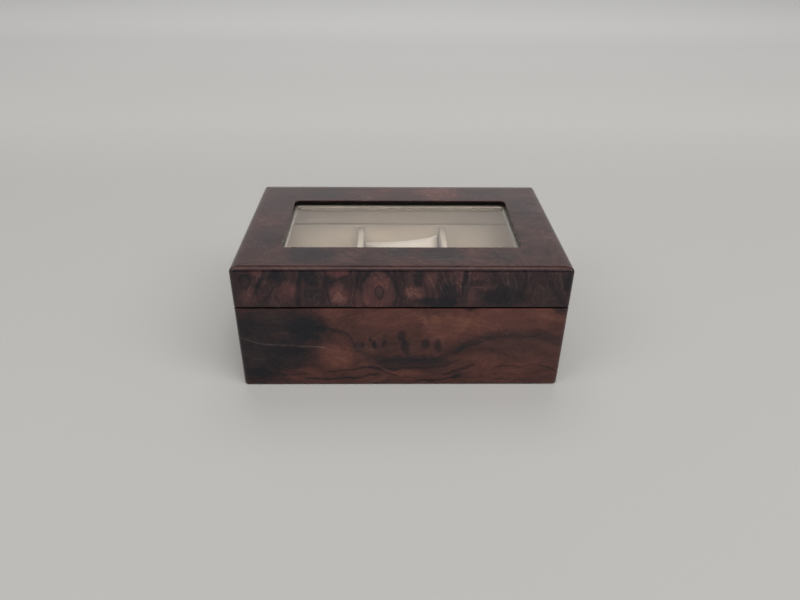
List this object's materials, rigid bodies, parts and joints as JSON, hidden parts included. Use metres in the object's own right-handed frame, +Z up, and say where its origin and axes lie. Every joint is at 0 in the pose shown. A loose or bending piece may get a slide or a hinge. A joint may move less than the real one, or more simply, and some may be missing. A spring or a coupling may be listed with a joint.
{
  "type": "pocket watch display box",
  "caption": "Glazed display box for pocket watches: burl-veneered base and hinged lid with a window, velvet lining, dividers and loose pillows.",
  "frame": {"origin": "centre of the underside, on the plane that the box stands on", "axes": "+X to the right seen from the front, along the length; +Y from front to back; +Z up"},
  "size_m": [0.2, 0.13, 0.084],
  "materials": {
    "burl_veneer": "dark burl veneer under satin-gloss lacquer",
    "dark_board": "fibreboard painted brown-black",
    "velvet_lining": "short-pile beige velvet over card and board",
    "pillow_velvet": "short-pile cream velvet",
    "pillow_filling": "soft wadding",
    "underside_felt": "black felt",
    "window_glass": "clear float glass",
    "hinge_brass": "polished brass"
  },
  "bodies": {
    "base": {"base_back_lining": "velvet_lining", "base_back_veneer": "burl_veneer", "base_back_wall": "dark_board", "base_front_lining": "velvet_lining", "base_front_veneer": "burl_veneer", "base_front_wall": "dark_board", "base_hinge_screws": "hinge_brass", "base_left_lining": "velvet_lining", "base_left_veneer": "burl_veneer", "base_left_wall": "dark_board", "base_right_lining": "velvet_lining", "base_right_veneer": "burl_veneer", "base_right_wall": "dark_board", "bottom_board": "dark_board", "floor_pad": "velvet_lining", "left_divider": "velvet_lining", "left_hinge_base_leaf": "hinge_brass", "left_hinge_pin": "hinge_brass", "right_divider": "velvet_lining", "right_hinge_base_leaf": "hinge_brass", "right_hinge_pin": "hinge_brass", "underside_felt": "underside_felt"},
    "lid": {"ceiling_board": "velvet_lining", "left_hinge_lid_leaf": "hinge_brass", "lid_back_lining": "velvet_lining", "lid_back_rail": "dark_board", "lid_back_veneer": "burl_veneer", "lid_front_lining": "velvet_lining", "lid_front_rail": "dark_board", "lid_front_veneer": "burl_veneer", "lid_hinge_screws": "hinge_brass", "lid_left_lining": "velvet_lining", "lid_left_rail": "dark_board", "lid_left_veneer": "burl_veneer", "lid_right_lining": "velvet_lining", "lid_right_rail": "dark_board", "lid_right_veneer": "burl_veneer", "lid_top_panel": "dark_board", "lid_top_veneer": "burl_veneer", "right_hinge_lid_leaf": "hinge_brass", "window_glass": "window_glass"},
    "left_pillow": {"left_pillow_cover": "pillow_velvet", "left_pillow_filling": "pillow_filling"},
    "centre_pillow": {"centre_pillow_cover": "pillow_velvet", "centre_pillow_filling": "pillow_filling"},
    "right_pillow": {"right_pillow_cover": "pillow_velvet", "right_pillow_filling": "pillow_filling"}
  },
  "joints": [
    {"name": "lid_hinge", "type": "hinge", "parent": "base", "child": "lid", "pos_m": [0, 0.0616, 0.0579], "axis": [-1, 0, 0], "range_deg": [0, 95]},
    {"name": "left_pillow_lift", "type": "slide", "parent": "base", "child": "left_pillow", "axis": [0, 0, 1], "range_m": [0, 0.027]},
    {"name": "centre_pillow_lift", "type": "slide", "parent": "base", "child": "centre_pillow", "axis": [0, 0, 1], "range_m": [0, 0.021]},
    {"name": "right_pillow_lift", "type": "slide", "parent": "base", "child": "right_pillow", "axis": [0, 0, 1], "range_m": [0, 0.027]}
  ]
}
